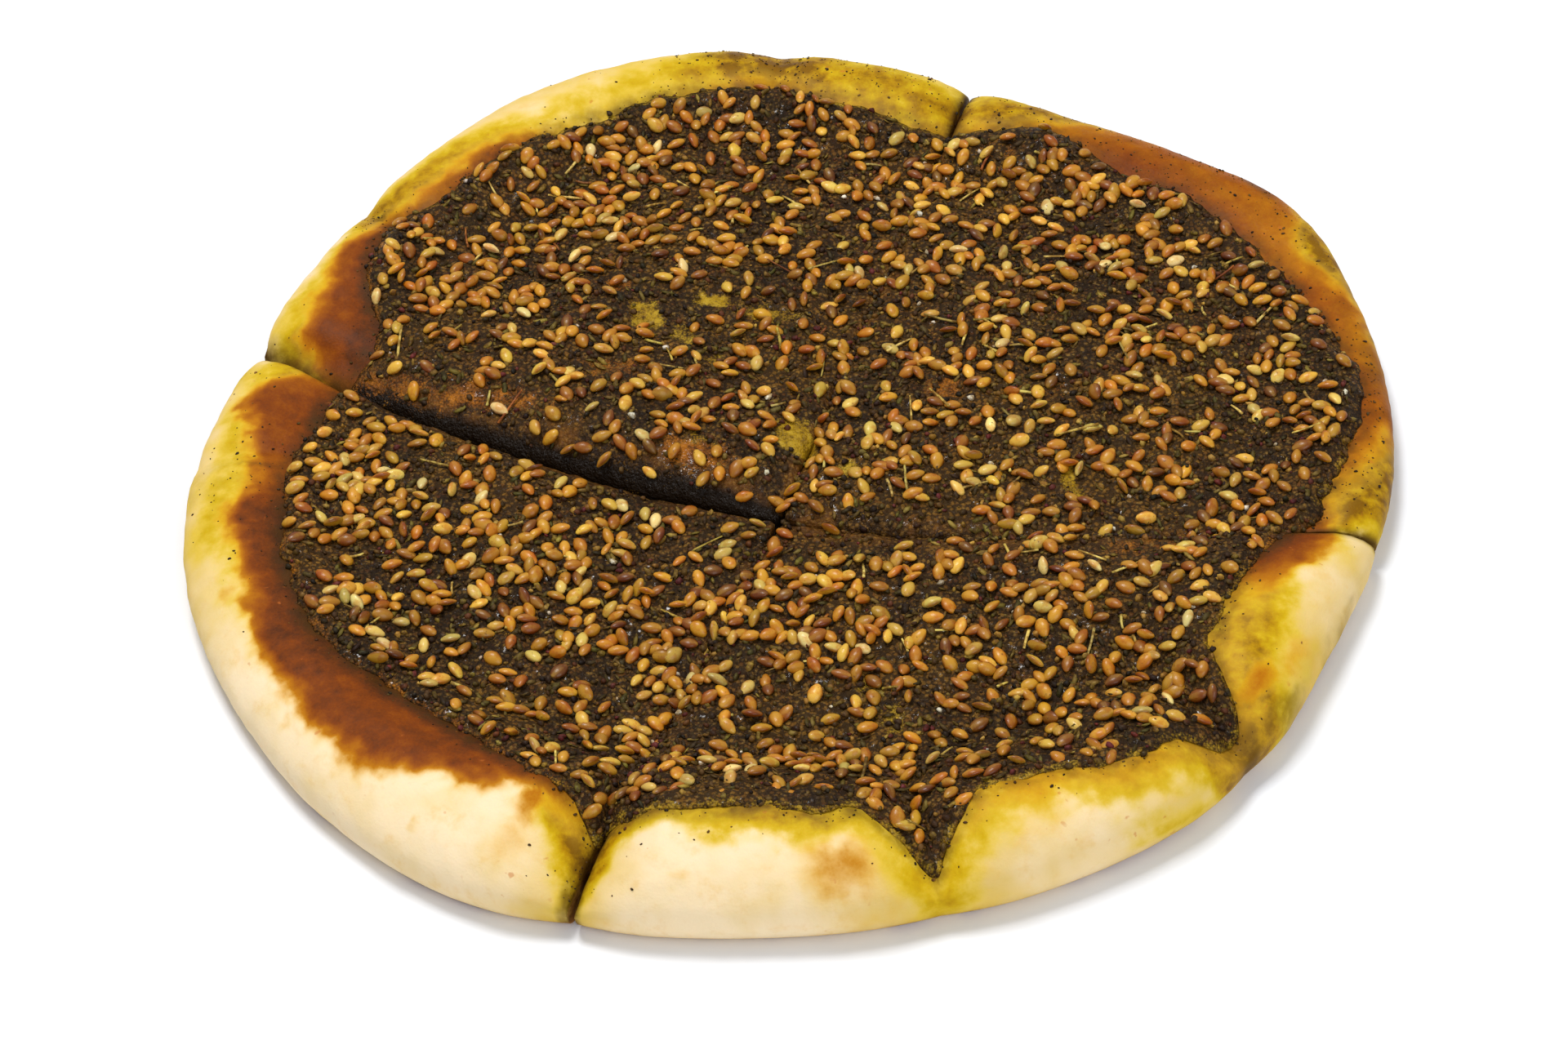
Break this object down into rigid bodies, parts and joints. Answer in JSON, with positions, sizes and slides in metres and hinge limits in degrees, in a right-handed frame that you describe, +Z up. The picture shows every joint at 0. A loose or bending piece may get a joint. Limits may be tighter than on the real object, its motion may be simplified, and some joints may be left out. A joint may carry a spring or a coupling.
{
  "type": "manakish",
  "caption": "Round flatbread with a puffed crust and a dark thyme and sesame topping, cut crosswise into quarters that still lie together.",
  "frame": {"origin": "under the middle of the bread, on the surface it lies on", "axes": "+Z up out of the topping, +X to the right and +Y to the back as the picture shows the bread"},
  "size_m": [0.1978, 0.2086, 0.0145],
  "materials": {
    "dough": "baked dough, cream to toasted brown, slightly oily",
    "topping": "dark oily paste of thyme and sumac with golden sesame seeds"
  },
  "bodies": {
    "root": {"dough_back_left": "dough", "dough_back_right": "dough", "dough_front_left": "dough", "dough_front_right": "dough", "topping_back_left": "topping", "topping_back_right": "topping", "topping_front_left": "topping", "topping_front_right": "topping"}
  },
  "joints": []
}
